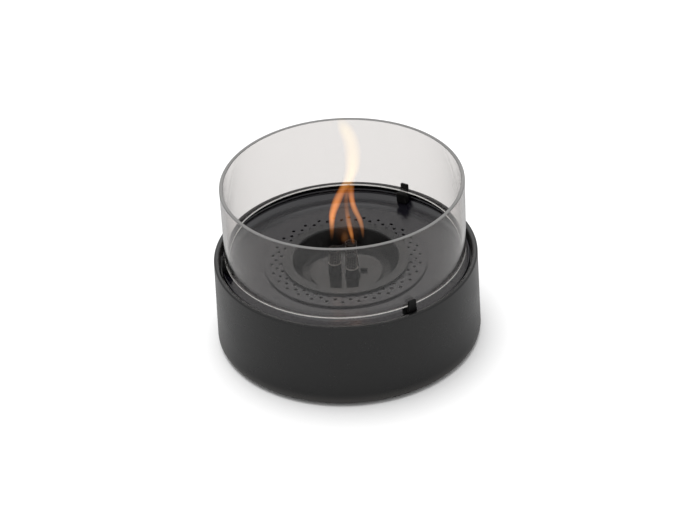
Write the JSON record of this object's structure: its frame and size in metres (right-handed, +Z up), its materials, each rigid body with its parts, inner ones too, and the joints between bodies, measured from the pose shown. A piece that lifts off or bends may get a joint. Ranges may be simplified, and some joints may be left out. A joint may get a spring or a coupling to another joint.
{
  "type": "bioethanol tabletop fireplace",
  "caption": "Round tabletop bioethanol fireplace: a black pot with a dish, a vent ring, a lift-out wick burner and a clear glass cylinder standing on rubber clips.",
  "frame": {"origin": "centre of the footprint, on the surface that the foot pads stand on", "axes": "+Z up along the pot's axis; -Y is the side that the picture shows, one clip stands near the left (-X)"},
  "size_m": [0.2, 0.2, 0.132],
  "materials": {
    "pot_glaze": "satin black",
    "dish_coat": "dark grey powder coat",
    "ring_coat": "dark grey powder coat",
    "cup_coat": "smooth dark grey coat",
    "plate_steel": "smooth dark grey",
    "tank_steel": "plain sheet",
    "tube_steel": "darkened steel",
    "cap_mesh": "wire mesh, heat tinted",
    "wick_fibre": "matte fibre",
    "rubber": "matte black",
    "clear_glass": "clear, polished edges"
  },
  "bodies": {
    "pot": {"outer_pot": "pot_glaze", "fuel_tank": "tank_steel", "foot_pad_1": "rubber", "foot_pad_2": "rubber", "foot_pad_3": "rubber", "foot_pad_4": "rubber"},
    "dish": {"dish_tray": "dish_coat", "glass_clip_1": "rubber", "glass_clip_2": "rubber", "glass_clip_3": "rubber"},
    "ring": {"vent_ring": "ring_coat"},
    "burner": {"burner_cup": "cup_coat"},
    "wicks": {"wick_plate": "plate_steel", "lift_lug": "tube_steel", "wick_tube_1": "tube_steel", "wick_cap_1": "cap_mesh", "wick_1": "wick_fibre", "wick_tube_2": "tube_steel", "wick_cap_2": "cap_mesh", "wick_2": "wick_fibre", "wick_tube_3": "tube_steel", "wick_cap_3": "cap_mesh", "wick_3": "wick_fibre"},
    "glass": {"glass_cylinder": "clear_glass"}
  },
  "joints": [
    {"name": "dish_lift", "type": "slide", "parent": "pot", "child": "dish", "axis": [0, 0, 1], "range_m": [0, 0.07]},
    {"name": "glass_lift", "type": "slide", "parent": "dish", "child": "glass", "axis": [0, 0, 1], "range_m": [0, 0.08]},
    {"name": "ring_lift", "type": "slide", "parent": "dish", "child": "ring", "axis": [0, 0, 1], "range_m": [0, 0.03]},
    {"name": "burner_lift", "type": "slide", "parent": "ring", "child": "burner", "axis": [0, 0, 1], "range_m": [0, 0.07]},
    {"name": "wick_lift", "type": "slide", "parent": "burner", "child": "wicks", "axis": [0, 0, 1], "range_m": [0, 0.065]}
  ]
}
